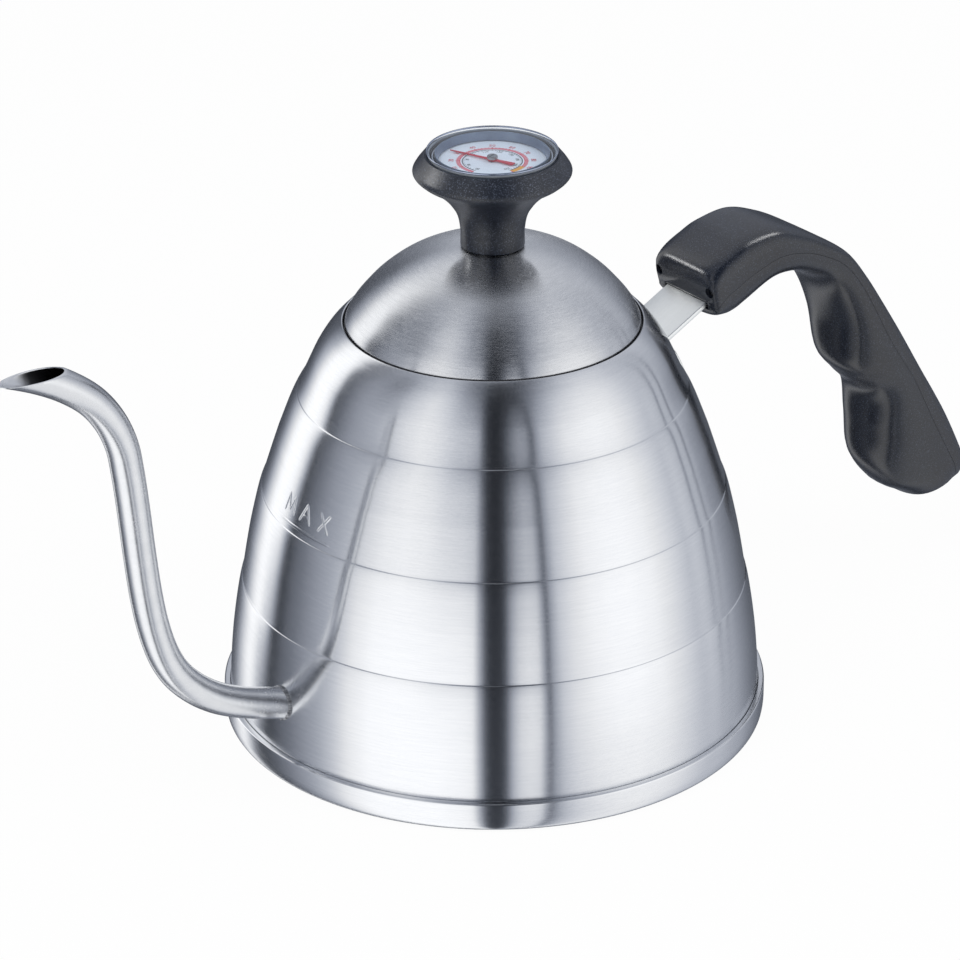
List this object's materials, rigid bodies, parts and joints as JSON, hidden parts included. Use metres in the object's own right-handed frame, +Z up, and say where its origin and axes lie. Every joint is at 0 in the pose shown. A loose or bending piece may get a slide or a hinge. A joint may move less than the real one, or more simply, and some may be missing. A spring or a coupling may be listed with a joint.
{
  "type": "gooseneck kettle",
  "caption": "Stovetop pour-over kettle with a thin gooseneck spout, a strap-mounted curved grip and a lift-off lid whose knob holds a dial thermometer.",
  "frame": {"origin": "centre of the base on the surface it stands on", "axes": "+Z up, the spout points along -X, the handle along +X"},
  "size_m": [0.3377, 0.16, 0.1758],
  "materials": {
    "steel": "brushed round the axis",
    "strap": "satin",
    "aluminium": "plain, hidden in the base",
    "plastic": "fine grained matt",
    "screw": "plain",
    "silicone": "plain silicone",
    "dial": "matt white with printed scales",
    "spacer": "satin blue grey",
    "crystal": "clear",
    "needle": "matt red",
    "brass": "plain",
    "bimetal": "plain strip metal"
  },
  "bodies": {
    "root": {"base_cap": "steel", "base_core": "aluminium", "bottom_pan": "steel", "body_shell": "steel", "spout_tube": "steel", "handle_strap": "strap", "grip_outer_shell": "plastic", "grip_inner_shell": "plastic", "grip_end_screw": "screw", "grip_grub_screw_near": "screw", "grip_grub_screw_far": "screw"},
    "lid": {"lid_dome": "steel", "lid_skirt": "steel", "lid_knob": "plastic", "lid_seal_washer": "silicone", "lid_washer": "screw", "lid_nut": "screw", "thermometer_case": "steel", "thermometer_stem": "steel", "stem_plug": "steel", "dial_plate": "dial", "dial_spacer_ring": "spacer", "dial_seat_ring": "steel", "crystal_gasket": "silicone", "dial_crystal": "crystal", "spindle_bush_upper": "brass", "spindle_bush_lower": "brass", "bimetal_coil": "bimetal"},
    "needle": {"needle": "needle", "needle_hub": "screw", "needle_spindle": "screw"}
  },
  "joints": [
    {"name": "lid_lift", "type": "slide", "parent": "root", "child": "lid", "axis": [0, 0, 1], "range_m": [0, 0.06]},
    {"name": "needle_turn", "type": "hinge", "parent": "lid", "child": "needle", "pos_m": [0, 0, 0.1725], "axis": [0, 0, -1], "range_deg": [-86.5, 203.5]}
  ]
}
